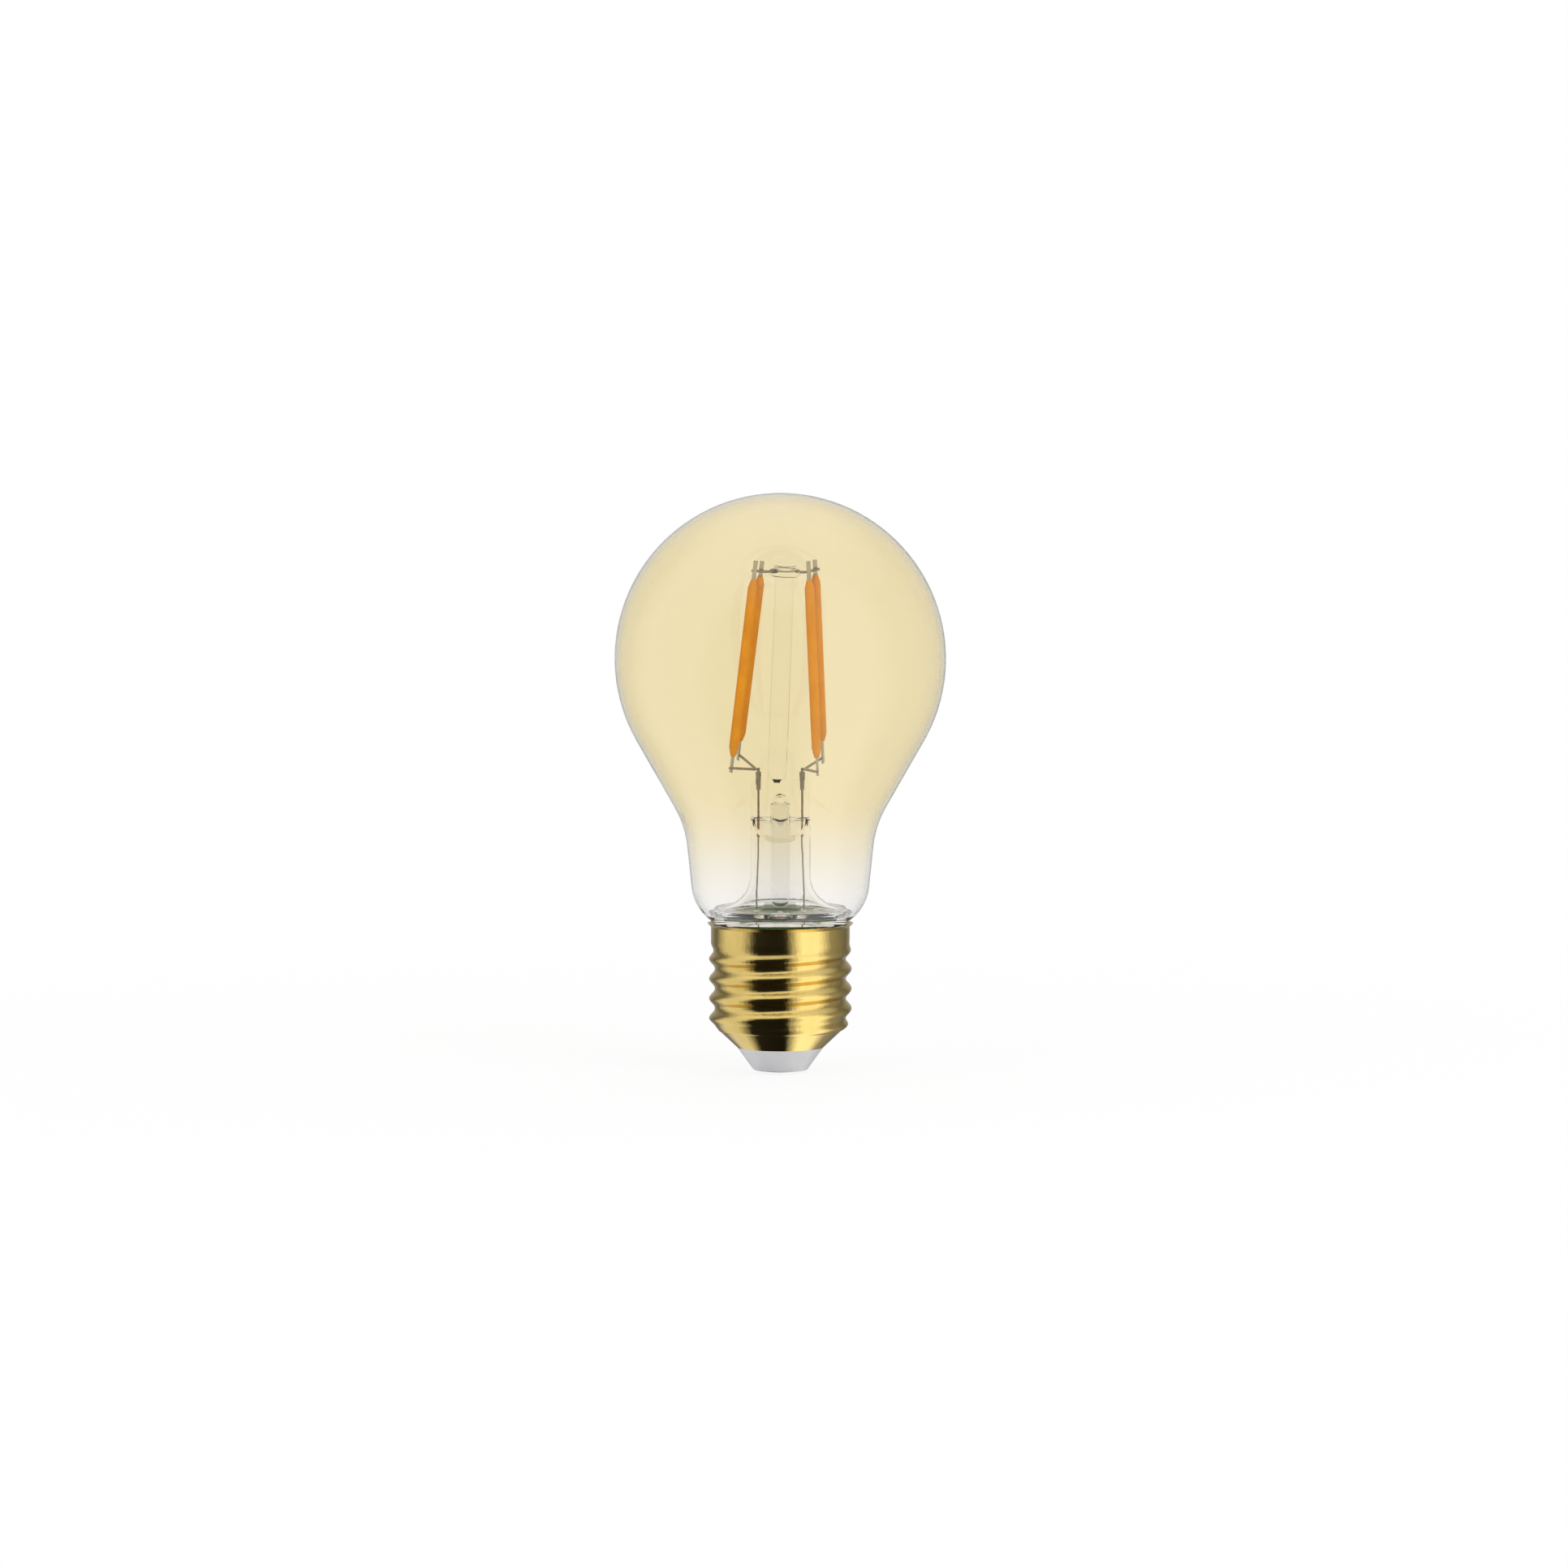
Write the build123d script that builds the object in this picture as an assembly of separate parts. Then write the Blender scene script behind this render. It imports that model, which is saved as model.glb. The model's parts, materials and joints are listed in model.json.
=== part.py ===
from build123d import *
import os
from math import atan2, ceil, cos, hypot, pi, radians, sin, sqrt, tan

# LED filament bulb with a wireless driver, on a 27 mm Edison screw cap.
# Millimetres, +Z up. Origin: lowest point of the centre contact, on the bulb's axis. The front faces -Y.

# ---- driving sizes: glass bulb ----
OVERALL_LENGTH = 106.0
GLOBE_DIAMETER = 60.5
GLASS_WALL = 0.7
SHOULDER_ANGLE = 29.7  # between the shoulder cone and the axis
SHOULDER_FILLET = 18.7
NECK_RADIUS = 16.5  # outside, at NECK_HEIGHT
NECK_HEIGHT = 36.5
NECK_TAPER = 6.0  # between the neck and the axis
NECK_END_ANGLE = 50.0  # between the neck's turned-in end and the axis
NECK_END_FILLET = 8.4
SKIRT_WALL = 0.7
SEAL_HEIGHT = 29.2  # where the stem's flare is fused to the neck

# ---- driving sizes: cap ----
THREAD_PITCH = 3.629
THREAD_CREST_RADIUS = 13.05
THREAD_DEPTH = 1.05
THREAD_START = 15.3  # height of a crest on the +X side
SECTIONS_PER_TURN = 12
SHELL_WALL = 0.3
COLLAR_STEP = 0.35  # from the thread's crest in to the collar
COLLAR_HEIGHT = 2.9
RIM_HEIGHT = 27.3
LIP_HEIGHT = 0.6
LIP_FLARE = 0.65
TOP_RUNOUT = 3.4
CREST_RUNOUT = 2.3
ROOT_RUNOUT = 1.5
DOME_TOP = 7.5
DOME_TOP_RADIUS = 11.1
MOUTH_HEIGHT = 4.5
MOUTH_RADIUS = 7.9
CEMENT_THICKNESS = 0.3
CEMENT_TOP_DROP = 0.7
SKIRT_LIFT = 0.4  # from the thread's top end up to the glass skirt's end

# ---- driving sizes: insulator and centre contact ----
INSULATOR_TIP_RADIUS = 4.9
INSULATOR_TIP_HEIGHT = 0.35
INSULATOR_TIP_FILLET = 0.6
INSULATOR_FLOOR = 2.8
INSULATOR_WALL = 1.3
PLUG_HEIGHT = 2.5
PLUG_CLEARANCE = 0.05
BOSS_RADIUS = 2.6
CONTACT_RADIUS = 3.6
CONTACT_RIM_HEIGHT = 0.2
CONTACT_THICKNESS = 0.55
CONTACT_CLEARANCE = 0.05
EYELET_RADIUS = 1.25
EYELET_WALL = 0.4
EYELET_LENGTH = 4.0

# ---- driving sizes: stem ----
TUBE_DIAMETER = 11.0
TUBE_WALL = 0.8
FLARE_BEND = 6.2
FLARE_RIM = 0.4  # flat ring outside the bend
PRESS_DROP = 21.35  # from the globe's centre down to the press's top edge
PRESS_LENGTH = 7.5
PRESS_THICKNESS = 3.2
PRESS_SHOULDER = 1.6
PRESS_DIP = 0.5
PRESS_SPREAD = 3.8  # length over which the press widens into the tube
PRESS_FLOOR = 1.2  # glass between the press and the tube's bore
EXHAUST_DIAMETER = 3.6
EXHAUST_WALL = 0.45
EXHAUST_COLLAR = 0.5  # glass that the press adds round the exhaust tube
EXHAUST_TOP_DROP = 5.1
EXHAUST_HOLE_RADIUS = 0.7
EXHAUST_TIP_GAP = 1.2

# ---- driving sizes: filament cage ----
CAGE_FOOT_X = -0.6
CAGE_LEAN_RIGHT = 2.2
CAGE_LEAN_FRONT = 3.0
COLUMN_DIAMETER = 3.5
COLUMN_SINK = 1.0
HEAD_RADIUS = 2.9
HEAD_THICKNESS = 1.5
HEAD_CAP_RADIUS = 2.0
HEAD_CAP_THICKNESS = 0.9
BRIDGE_HEIGHT = 37.3
BRIDGE_DIAMETER = 0.5
BRIDGE_KINK = 3.6
BRIDGE_LEFT_REACH = 6.1
BRIDGE_RIGHT_REACH = 6.3
BRIDGE_LEFT_RISE = 0.1
BRIDGE_RIGHT_RISE = 0.9
TOP_SPREAD = 4.93
TOP_STAGGER = 0.58
BOTTOM_SPREAD = 7.8
BOTTOM_STAGGER = 0.55
BOTTOM_DEPTH = 8.8
BOTTOM_HEIGHT = 2.3
FILAMENT_LENGTH = 32.5
FILAMENT_DIAMETER = 1.75
FILAMENT_TIP_DIAMETER = 0.9
FILAMENT_TAPER = 1.6
FILAMENT_TOP_GAP = 1.3
FILAMENT_TOP_STAGGER = 0.3
STRIP_WIDTH = 0.9
STRIP_THICKNESS = 0.45
STRIP_MARGIN = 0.7  # from the strip's end to the jacket's end
CHIP_COUNT = 28
CHIP_LENGTH = 0.7
CHIP_WIDTH = 0.35
CHIP_THICKNESS = 0.15
TAB_WIDTH = 0.8
TAB_THICKNESS = 0.28
TAB_TOP_OVERHANG = 1.8
TAB_BOTTOM_OVERHANG = 0.8
ARM_DIAMETER = 0.48
ARM_RISE = 1.3
ARM_FOLD = 0.65
ARM_BEND = 0.5
ARM_OVERHANG = 1.5
WELD_GAP = 0.03
POST_SPACING = 8.0
POST_DIAMETER = 0.5
POST_RISE = 1.5
SLEEVE_DIAMETER = 1.0
SLEEVE_RISE = 0.8
SLEEVE_SINK = 2.5
SEAL_WIRE_DIAMETER = 0.4
SEAL_WIRE_END = 10.8  # below the press's top edge
KNOT_RADIUS = 0.35
LEAD_DIAMETER = 0.3
LEAD_SPREAD = 0.4
LEAD_BEND = 8.0

# ---- driving sizes: driver board and its parts ----
BOARD_CLEARANCE = 0.4
BOARD_THICKNESS = 1.0
BOARD_DROP = 1.0  # from the glass seal down to the board's upper face
PIN_CLEARANCE = 0.05
PIN_RISE = 0.45
SOLDER_RADIUS = 0.6
SOLDER_HEIGHT = 0.4
MODULE_CENTRE_Y = 5.2
MODULE_WIDTH = 7.0
MODULE_DEPTH = 5.0
MODULE_THICKNESS = 0.5
CAN_MARGIN = 0.5
CAN_HEIGHT = 1.0
ANTENNA_Y = -8.2
ANTENNA_SIZE = (3.2, 1.6, 0.9)
CAPACITOR_CENTRE = (5.5, 3.6)
CAPACITOR_DIAMETER = 6.3
CAPACITOR_LENGTH = 11.0
CAPACITOR_STANDOFF = 0.8
CAPACITOR_PIN_SPACING = 2.5
CAPACITOR_PIN_DIAMETER = 0.5
INDUCTOR_CENTRE = (-5.0, 3.8)
INDUCTOR_DIAMETER = 6.0
INDUCTOR_HEIGHT = 6.5
INDUCTOR_CORE_DIAMETER = 2.6
INDUCTOR_FLANGE = 0.9
INDUCTOR_WINDING_DIAMETER = 5.2
RECTIFIER_CENTRE = (-5.2, -4.6)
RECTIFIER_SIZE = (4.7, 3.9, 2.3)
DRIVER_CENTRE = (5.0, -5.4)
DRIVER_SIZE = (4.9, 3.9, 1.5)
LEG_WIDTH = 0.4
LEG_REACH = 0.7
LEG_THICKNESS = 0.25
RESISTOR_Y = -2.6
RESISTOR_DIAMETER = 2.6
RESISTOR_LENGTH = 7.0
RESISTOR_DROP = 4.0
RESISTOR_LEAD_DIAMETER = 0.6
RESISTOR_LEAD_TAIL = 1.6
SMALL_PART_SIZE = (1.6, 0.8, 0.6)
SMALL_PARTS_UNDER = ((0.0, 8.4), (0.0, 6.4), (0.0, -6.6), (0.0, -8.4), (-8.6, 0.0), (8.8, -0.8))
SMALL_PARTS_OVER = ((-7.0, -3.6), (-7.0, -5.2), (6.6, -4.6), (4.2, -7.2), (-4.0, -7.4), (8.8, 0.8), (-7.4, 3.0))
NEUTRAL_ANGLE = 200.0
NEUTRAL_RADIUS = 9.6
NEUTRAL_DROP = 5.0  # below the board's lower face
NEUTRAL_RISE = 1.2
NEUTRAL_DIAMETER = 0.5
NEUTRAL_WELD_GAP = 0.1
LIVE_CORE_DIAMETER = 0.6
LIVE_JACKET_DIAMETER = 1.3
LIVE_BEND = 2.0
LIVE_STRIPPED = 0.8

# ---- what follows from them ----
GLOBE_RADIUS = GLOBE_DIAMETER / 2
GLOBE_CENTRE = OVERALL_LENGTH - GLOBE_RADIUS
THREAD_ROOT_RADIUS = THREAD_CREST_RADIUS - THREAD_DEPTH
COLLAR_RADIUS = THREAD_CREST_RADIUS - COLLAR_STEP
THREAD_TOP = RIM_HEIGHT - COLLAR_HEIGHT
DOME_SLOPE = (DOME_TOP_RADIUS - MOUTH_RADIUS) / (DOME_TOP - MOUTH_HEIGHT)
SKIRT_RADIUS = COLLAR_RADIUS - SHELL_WALL - CEMENT_THICKNESS
SKIRT_BORE = SKIRT_RADIUS - SKIRT_WALL
SKIRT_END = THREAD_TOP + SKIRT_LIFT
TUBE_RADIUS = TUBE_DIAMETER / 2
TUBE_BORE = TUBE_RADIUS - TUBE_WALL
PRESS_TOP = GLOBE_CENTRE - PRESS_DROP
PRESS_BASE = PRESS_TOP - PRESS_LENGTH
BOARD_TOP = SEAL_HEIGHT - BOARD_DROP
BOARD_UNDERSIDE = BOARD_TOP - BOARD_THICKNESS
BOARD_RADIUS = SKIRT_BORE - BOARD_CLEARANCE
POST_X = POST_SPACING / 2
SIDES = {"left": -1, "right": 1}
ROWS = {"front": -1, "back": 1}


def save(name, *solids):
    """Write one named piece; several alike solids go out as a group."""
    found = [solid for shape in solids for solid in shape.solids()]
    export_step(found[0] if len(found) == 1 else Compound(children=found), f"parts/{name}.step")


def rod(radius, low, high, x=0.0, y=0.0):
    """Upright round bar from one height to another."""
    return Pos(x, y, low) * extrude(Circle(radius), high - low)


def ring(outer, inner, low, high, x=0.0, y=0.0):
    return rod(outer, low, high, x, y) - rod(inner, low, high, x, y)


def block(size, x, y, low):
    """Box standing on a height."""
    return Pos(x, y, low) * Box(*size, align=(Align.CENTER, Align.CENTER, Align.MIN))


def turned(*lines):
    """Solid of revolution from a closed chain of (radius, height) lines."""
    return revolve(Plane.XZ * make_face(Curve() + list(lines)), Axis.Z)


def wire_along(points, bend, diameter):
    """Round wire whose centre follows straight runs joined by tangent arcs."""
    path = FilletPolyline(*points, radius=bend) if len(points) > 2 else Line(*points)
    return sweep(Plane(path @ 0, z_dir=path % 0) * Circle(diameter / 2), path)


# ---- glass bulb ----
def crossing(p, p_angle, q, q_angle):
    """Where two lines in the (radius, height) plane meet; angles are from the axis, outward."""
    px, pz, qx, qz = sin(p_angle), cos(p_angle), sin(q_angle), cos(q_angle)
    along = ((q[0] - p[0]) * qz - (q[1] - p[1]) * qx) / (px * qz - pz * qx)
    return (p[0] + along * px, p[1] + along * pz)


def bulb_form(inset, foot_radius, foot_height):
    """Solid form of globe, shoulder and neck, inset from the outer face, with an upright foot below."""
    shoulder, neck, end = radians(SHOULDER_ANGLE), radians(NECK_TAPER), radians(NECK_END_ANGLE)
    radius = GLOBE_RADIUS - inset
    tangent = (radius * cos(shoulder), GLOBE_CENTRE - radius * sin(shoulder))
    on_neck = (NECK_RADIUS - inset * cos(neck), NECK_HEIGHT + inset * sin(neck))
    on_end = (SKIRT_RADIUS - inset * cos(end), RIM_HEIGHT + inset * sin(end))
    corners = [crossing(tangent, shoulder, on_neck, neck), crossing(on_neck, neck, on_end, end)]
    foot = crossing(on_end, end, (foot_radius, foot_height), 0)
    fillets = [SHOULDER_FILLET + inset, NECK_END_FILLET - inset]
    side = FilletPolyline(tangent, *corners, foot, radius=fillets)
    top = (0, GLOBE_CENTRE + radius)
    globe = ThreePointArc(top, (radius * cos(pi / 6), GLOBE_CENTRE + radius * sin(pi / 6)), tangent)
    return turned(globe, side, Polyline(foot, (foot_radius, foot_height), (0, foot_height), top))


def glass_bulb():
    outside = bulb_form(0, SKIRT_RADIUS, SKIRT_END)
    inside = bulb_form(GLASS_WALL, SKIRT_BORE, SKIRT_END) - rod(GLOBE_RADIUS, SKIRT_END - 1, SEAL_HEIGHT)
    return outside - inside - rod(SKIRT_BORE, SKIRT_END, SEAL_HEIGHT)


# ---- screw shell ----
def eased_out(t):
    t = min(max(t, 0), 1)
    return t * (2 - t)


def smooth(t):
    t = min(max(t, 0), 1)
    return t * t * (3 - 2 * t)


def envelope_radius(z, full, runout):
    """Radius of the thread's crest or root line at a height, with its run-outs into dome and collar."""
    rise = DOME_TOP_RADIUS + (full - DOME_TOP_RADIUS) * eased_out((z - DOME_TOP) / runout)
    return rise + (COLLAR_RADIUS - rise) * smooth((z - THREAD_TOP + TOP_RUNOUT) / TOP_RUNOUT)


def thread_circle(z):
    """Every level section of a rolled thread is a circle set off centre: its offset, direction and radius."""
    crest = envelope_radius(z, THREAD_CREST_RADIUS, CREST_RUNOUT)
    root = envelope_radius(z, THREAD_ROOT_RADIUS, ROOT_RUNOUT)
    return (crest - root) / 2, 2 * pi * (z - THREAD_START) / THREAD_PITCH, (crest + root) / 2


def wall_inset(z):
    """Sheet thickness measured level, which is more where the sheet slopes."""
    step = 0.05
    slope = (thread_circle(z + step)[2] - thread_circle(max(z - step, DOME_TOP))[2]) / (2 * step)
    return SHELL_WALL * hypot(1, DOME_SLOPE if z <= DOME_TOP else slope)


def thread_core(inside):
    count = ceil((THREAD_TOP - DOME_TOP) / THREAD_PITCH * SECTIONS_PER_TURN)
    circles = []
    for index in range(count + 1):
        z = DOME_TOP + (THREAD_TOP - DOME_TOP) * index / count
        offset, angle, radius = thread_circle(z)
        place = Plane(origin=(offset * cos(angle), offset * sin(angle), z), z_dir=(0, 0, 1))
        circles.append(Wire.make_circle(radius - (wall_inset(z) if inside else 0), place))
    return Solid.make_loft(circles)


def screw_shell():
    level_wall = SHELL_WALL * hypot(1, DOME_SLOPE)
    dome = turned(
        Polyline(
            (MOUTH_RADIUS, MOUTH_HEIGHT),
            (DOME_TOP_RADIUS, DOME_TOP),
            (DOME_TOP_RADIUS - level_wall, DOME_TOP),
            (MOUTH_RADIUS - level_wall, MOUTH_HEIGHT),
            close=True,
        )
    )
    lip_base = RIM_HEIGHT - LIP_HEIGHT
    collar = turned(
        Polyline(
            (COLLAR_RADIUS, THREAD_TOP),
            (COLLAR_RADIUS, lip_base),
            (COLLAR_RADIUS + LIP_FLARE, RIM_HEIGHT),
            (COLLAR_RADIUS + LIP_FLARE - SHELL_WALL, RIM_HEIGHT),
            (COLLAR_RADIUS - SHELL_WALL, lip_base),
            (COLLAR_RADIUS - SHELL_WALL, THREAD_TOP),
            close=True,
        )
    )
    return dome + (thread_core(False) - thread_core(True)) + collar


def shell_bore_radius(angle, z):
    """Distance from the axis to the shell's inner face, in one direction at one height."""
    offset, toward, radius = thread_circle(z)
    radius -= wall_inset(z)
    turn = angle - toward
    return offset * cos(turn) + sqrt(radius**2 - (offset * sin(turn)) ** 2)


def cap_cement():
    return ring(COLLAR_RADIUS - SHELL_WALL, SKIRT_RADIUS, SKIRT_END, RIM_HEIGHT - CEMENT_TOP_DROP)


# ---- insulator and centre contact ----
def insulator():
    mouth_bore = MOUTH_RADIUS - SHELL_WALL * hypot(1, DOME_SLOPE) - PLUG_CLEARANCE
    plug_top = MOUTH_HEIGHT + PLUG_HEIGHT
    plug_radius = mouth_bore + DOME_SLOPE * PLUG_HEIGHT
    tip = FilletPolyline(
        (CONTACT_RADIUS, INSULATOR_TIP_HEIGHT),
        (INSULATOR_TIP_RADIUS, INSULATOR_TIP_HEIGHT),
        (MOUTH_RADIUS, MOUTH_HEIGHT),
        radius=INSULATOR_TIP_FILLET,
    )
    rest = Polyline(
        tip @ 1,
        (mouth_bore, MOUTH_HEIGHT),
        (plug_radius, plug_top),
        (mouth_bore - INSULATOR_WALL, plug_top),
        (mouth_bore - INSULATOR_WALL, INSULATOR_FLOOR),
        (0, INSULATOR_FLOOR),
        (0, INSULATOR_TIP_HEIGHT),
        tip @ 0,
    )
    seat = CONTACT_RIM_HEIGHT + CONTACT_THICKNESS
    body = turned(tip, rest) + rod(BOSS_RADIUS, INSULATOR_FLOOR, plug_top)
    recess = rod(CONTACT_RADIUS + CONTACT_CLEARANCE, INSULATOR_TIP_HEIGHT, seat)
    return body - recess - rod(EYELET_RADIUS + CONTACT_CLEARANCE, 0, plug_top)


def centre_contact():
    seat = CONTACT_RIM_HEIGHT + CONTACT_THICKNESS
    low_face = ThreePointArc(
        (-CONTACT_RADIUS, CONTACT_RIM_HEIGHT), (0, 0), (CONTACT_RADIUS, CONTACT_RIM_HEIGHT)
    ).trim(0.5, 1)
    rest = Polyline(low_face @ 1, (CONTACT_RADIUS, seat), (0, seat), low_face @ 0)
    return turned(low_face, rest) + ring(EYELET_RADIUS, EYELET_RADIUS - EYELET_WALL, seat, seat + EYELET_LENGTH)


# ---- stem ----
def waisted_slab(half_width, waist, neck_low, neck_high, high):
    """Slab along X whose thickness narrows from twice half_width at the bottom to twice waist at the top."""
    low = 2 * neck_low - neck_high
    bend = min(half_width - waist, neck_high - neck_low, 2 * (high - neck_high)) / 2
    side = FilletPolyline(
        (half_width, low), (half_width, neck_low), (waist, neck_high), (waist, high), radius=bend
    )
    outline = Curve() + [side, mirror(side, Plane.YZ)]
    outline += [Line((-half_width, low), (half_width, low)), Line((-waist, high), (waist, high))]
    return extrude(Plane.YZ * make_face(outline), TUBE_RADIUS, both=True)


def press_front():
    """Front outline of the pinched end, with rounded shoulders and a shallow dip, as deep as the tube."""
    half = TUBE_RADIUS
    low = PRESS_BASE - PRESS_SPREAD - 1
    shoulder = ThreePointArc(
        (half, PRESS_TOP - PRESS_SHOULDER),
        (half - PRESS_SHOULDER * 0.3, PRESS_TOP - PRESS_SHOULDER * 0.3),
        (half - PRESS_SHOULDER, PRESS_TOP),
    )
    dip = ThreePointArc(shoulder @ 1, (0, PRESS_TOP - PRESS_DIP), (PRESS_SHOULDER - half, PRESS_TOP))
    sides = Polyline(dip @ 1, (-half, PRESS_TOP - PRESS_SHOULDER), (-half, low), (half, low), shoulder @ 0)
    return extrude(Plane.XZ * make_face(Curve() + [shoulder, dip, sides]), TUBE_RADIUS, both=True)


def stem_tube():
    bend_centre = (TUBE_RADIUS + FLARE_BEND, SEAL_HEIGHT + TUBE_WALL + FLARE_BEND)
    rim = bend_centre[0] + FLARE_RIM
    base = PRESS_BASE - PRESS_SPREAD - 0.5
    half_turn = cos(pi / 4)
    outer = ThreePointArc(
        (bend_centre[0], SEAL_HEIGHT + TUBE_WALL),
        (bend_centre[0] - FLARE_BEND * half_turn, bend_centre[1] - FLARE_BEND * half_turn),
        (TUBE_RADIUS, bend_centre[1]),
    )
    inner_bend = FLARE_BEND + TUBE_WALL
    inner = ThreePointArc(
        (TUBE_BORE, bend_centre[1]),
        (bend_centre[0] - inner_bend * half_turn, bend_centre[1] - inner_bend * half_turn),
        (bend_centre[0], SEAL_HEIGHT),
    )
    up = Polyline(outer @ 1, (TUBE_RADIUS, base), (TUBE_BORE, base), inner @ 0)
    foot = Polyline(inner @ 1, (rim, SEAL_HEIGHT), (rim, SEAL_HEIGHT + TUBE_WALL), outer @ 0)
    flare = turned(outer, up, inner, foot)

    bore_top = PRESS_BASE - PRESS_FLOOR / 2
    press = rod(TUBE_RADIUS, base, PRESS_TOP + 1) & press_front()
    press &= waisted_slab(
        TUBE_RADIUS + 0.5, PRESS_THICKNESS / 2, PRESS_BASE - PRESS_SPREAD, PRESS_BASE, PRESS_TOP + 1
    )
    exhaust_top = PRESS_TOP - EXHAUST_TOP_DROP
    collar_radius = EXHAUST_DIAMETER / 2 + EXHAUST_COLLAR
    press += rod(collar_radius, PRESS_BASE - 1, exhaust_top) + Pos(0, 0, exhaust_top) * Sphere(collar_radius)
    bore = rod(TUBE_BORE, base, bore_top) & waisted_slab(
        TUBE_BORE + 0.5,
        PRESS_THICKNESS / 2 - TUBE_WALL,
        PRESS_BASE - PRESS_SPREAD - PRESS_FLOOR,
        PRESS_BASE - PRESS_FLOOR,
        bore_top,
    )
    exhaust_bore = EXHAUST_DIAMETER / 2 - EXHAUST_WALL
    vent = Pos(0, 0, exhaust_top + exhaust_bore / 2) * Rot(90, 0, 0) * extrude(
        Circle(EXHAUST_HOLE_RADIUS), TUBE_RADIUS
    )
    dome = rod(exhaust_bore, exhaust_top, exhaust_top + exhaust_bore / 2)
    dome += Pos(0, 0, exhaust_top + exhaust_bore / 2) * Sphere(exhaust_bore)
    press = press - bore - rod(EXHAUST_DIAMETER / 2, base, exhaust_top) - dome - vent
    return flare + press


def exhaust_tube():
    radius = EXHAUST_DIAMETER / 2
    tip = BOARD_TOP + EXHAUST_TIP_GAP + radius
    top = PRESS_TOP - EXHAUST_TOP_DROP
    outside = rod(radius, tip, top) + Pos(0, 0, tip) * Sphere(radius)
    inside = radius - EXHAUST_WALL
    return outside - rod(inside, tip, top) - Pos(0, 0, tip) * Sphere(inside)


# ---- filament cage: a leaning frame whose origin is the column's foot on the press ----
CAGE = Pos(CAGE_FOOT_X, 0, PRESS_TOP) * Rot(CAGE_LEAN_FRONT, CAGE_LEAN_RIGHT, 0)


def in_cage(x, y, z):
    return (CAGE * Pos(x, y, z)).position


def bridge_point(x):
    """Centre of the bridge wire beside the head: each side rises from its kink to its end."""
    reach = BRIDGE_RIGHT_REACH if x > 0 else BRIDGE_LEFT_REACH
    rise = BRIDGE_RIGHT_RISE if x > 0 else BRIDGE_LEFT_RISE
    return in_cage(x, 0, BRIDGE_HEIGHT + rise * (abs(x) - HEAD_RADIUS) / (reach - HEAD_RADIUS))


def bridge_wire():
    stations = (-BRIDGE_LEFT_REACH, -BRIDGE_KINK, BRIDGE_KINK, BRIDGE_RIGHT_REACH)
    points = [bridge_point(x) for x in stations]
    return wire_along(points, BRIDGE_DIAMETER, BRIDGE_DIAMETER)


def column():
    top = BRIDGE_HEIGHT - HEAD_THICKNESS / 2
    return CAGE * rod(COLUMN_DIAMETER / 2, -COLUMN_SINK, top)


def column_head():
    low = BRIDGE_HEIGHT - HEAD_THICKNESS / 2
    high = low + HEAD_THICKNESS
    bead = fillet(rod(HEAD_RADIUS, low, high).edges(), HEAD_THICKNESS * 0.48)
    top = rod(HEAD_CAP_RADIUS, high - 0.1, high + HEAD_CAP_THICKNESS)
    top = fillet(top.edges().group_by(Axis.Z)[-1], HEAD_CAP_THICKNESS * 0.6)
    return CAGE * (bead + top)


def weld_points(side, row):
    """Where one filament's axis passes its two wires, and the flat direction of its upper tab."""
    beside = TAB_THICKNESS / 2 + WELD_GAP
    bottom = in_cage(side * BOTTOM_SPREAD + row * BOTTOM_STAGGER, row * BOTTOM_DEPTH, BOTTOM_HEIGHT)
    x = side * TOP_SPREAD + row * TOP_STAGGER
    on_wire = bridge_point(x)
    run = (bridge_point(x + 0.1) - bridge_point(x - 0.1)).normalized()
    flat = run.cross((on_wire - bottom).normalized()).normalized()
    flat = flat if flat.Y * row > 0 else -flat
    return bottom, on_wire + flat * (beside + BRIDGE_DIAMETER / 2), flat


def fold_point(side, row):
    """Where a support arm turns outward beside its post, in the frame of the whole bulb."""
    x = POST_X + POST_DIAMETER / 2 + ARM_DIAMETER / 2 + WELD_GAP
    return Vector(side * x, row * ARM_FOLD, PRESS_TOP + ARM_RISE)


def arm_pass(side, row):
    """Where an arm passes its filament's lower tab, and that tab's flat direction."""
    bottom, top, _ = weld_points(side, row)
    run = (bottom - fold_point(side, row)).normalized()
    flat = run.cross((top - bottom).normalized()).normalized()
    flat = flat if flat.X * side < 0 else -flat
    return bottom + flat * (TAB_THICKNESS / 2 + ARM_DIAMETER / 2 + WELD_GAP), flat


def support_arms(side):
    """One wire folded into a V round its post; each end carries the foot of a filament."""
    points = []
    for row in (-1, 1):
        fold = fold_point(side, row)
        passing = arm_pass(side, row)[0]
        end = passing + (passing - fold).normalized() * ARM_OVERHANG
        points += [end, fold] if row < 0 else [fold, end]
    return wire_along(points, ARM_BEND, ARM_DIAMETER)


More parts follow.
